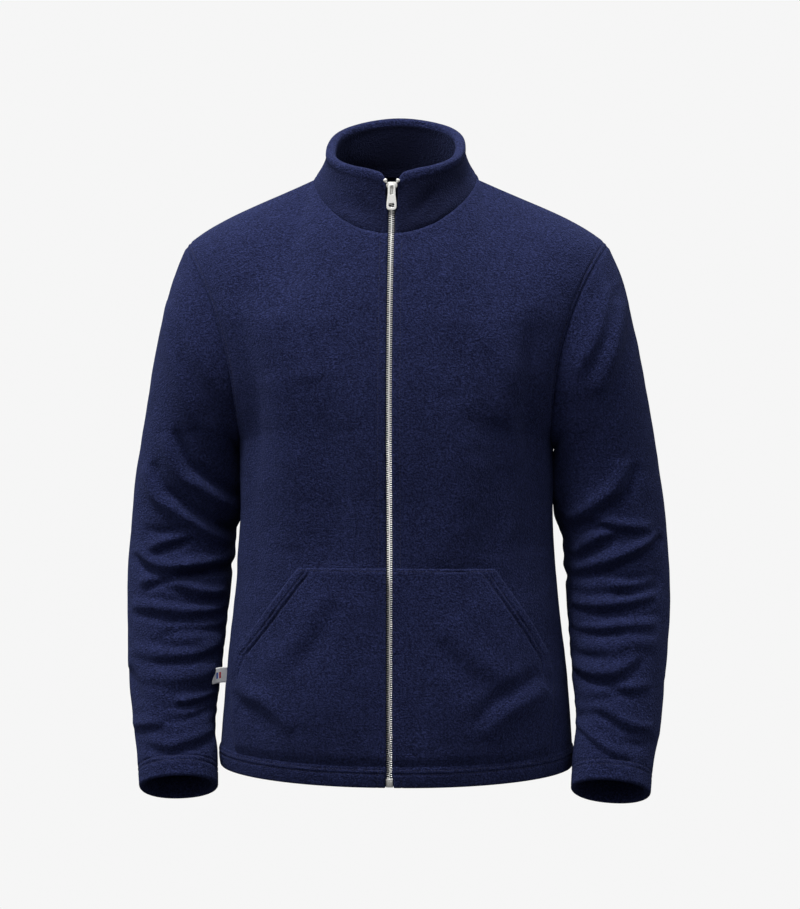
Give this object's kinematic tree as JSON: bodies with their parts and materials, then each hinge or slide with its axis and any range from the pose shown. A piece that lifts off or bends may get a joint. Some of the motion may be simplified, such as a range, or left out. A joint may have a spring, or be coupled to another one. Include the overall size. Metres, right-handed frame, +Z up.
{
  "type": "fleece zip jacket, worn form",
  "caption": "Navy fleece jacket in its worn, hollow form, with a stand collar, a metal front zip, front pouch pockets and a side label.",
  "frame": {"origin": "centre of the neck opening, level with the points where the shoulder seams meet the collar; the wearer's shoulders hold the jacket there", "axes": "+Z up, the front faces -Y, +X towards the wearer's left"},
  "size_m": [0.6342, 0.2622, 0.7981],
  "materials": {
    "fleece": "brushed pile",
    "zip_tape": "woven",
    "zip_metal": "satin",
    "label": "woven"
  },
  "bodies": {
    "jacket": {"front_left": "fleece", "front_right": "fleece", "back": "fleece", "sleeve_left": "fleece", "sleeve_right": "fleece", "collar": "fleece", "pocket_left": "fleece", "pocket_right": "fleece", "zip_tape_left": "zip_tape", "zip_tape_right": "zip_tape", "zip_chain_left": "zip_metal", "zip_chain_right": "zip_metal", "zip_stop_left": "zip_metal", "zip_stop_right": "zip_metal", "zip_slider": "zip_metal", "zip_box": "zip_metal", "side_label": "label"},
    "pull": {"zip_pull": "zip_metal"}
  },
  "joints": [
    {"name": "pull_swing", "type": "hinge", "parent": "jacket", "child": "pull", "pos_m": [0, -0.08828, -0.01026], "axis": [-1, 0, 0], "range_deg": [0, 160]}
  ]
}
